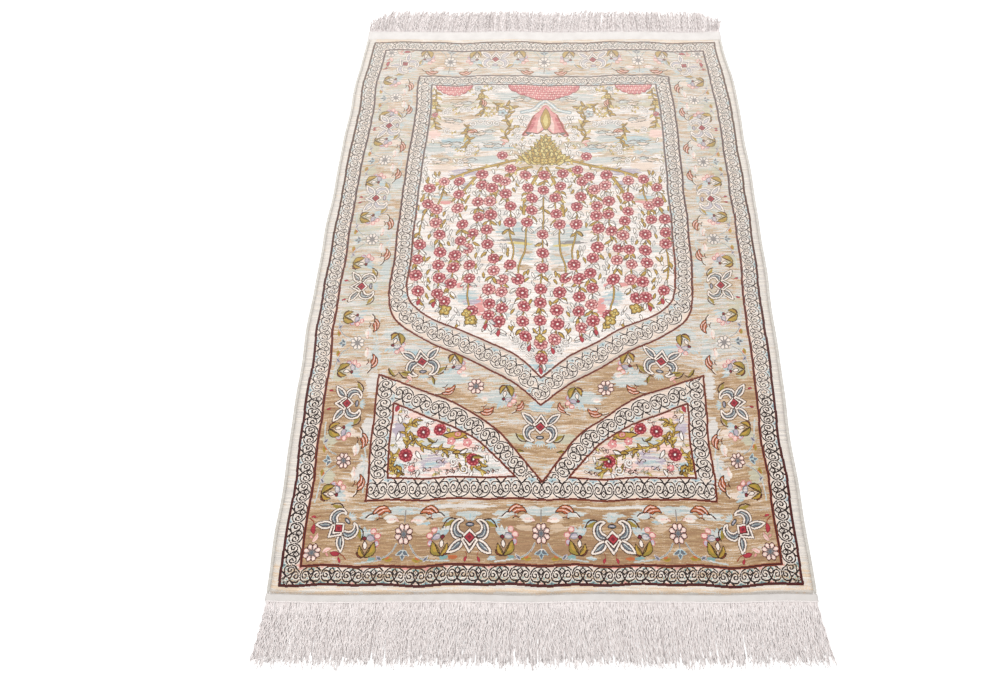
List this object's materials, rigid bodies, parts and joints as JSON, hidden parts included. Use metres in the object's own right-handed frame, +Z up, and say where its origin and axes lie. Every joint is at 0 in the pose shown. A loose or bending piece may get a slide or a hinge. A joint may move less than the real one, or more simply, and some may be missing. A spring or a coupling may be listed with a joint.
{
  "type": "hereke rug",
  "caption": "Small hand-knotted silk prayer rug lying flat, with whipped side cords, flat-woven end strips and combed warp fringes.",
  "frame": {"origin": "middle of the rug's box, on the floor", "axes": "+X across the rug to the right, +Y along its length to the end that is farther off in the picture, +Z up out of the pile"},
  "size_m": [0.6682, 1.1068, 0.0045],
  "materials": {
    "silk_pile": "short silk pile with a soft directional sheen",
    "whipped_silk": "overcast silk yarn",
    "warp_silk": "plain undyed twisted warps"
  },
  "bodies": {
    "root": {"pile_cloth": "silk_pile", "selvedge_left": "whipped_silk", "selvedge_right": "whipped_silk", "fringe_near": "warp_silk", "fringe_far": "warp_silk"}
  },
  "joints": []
}
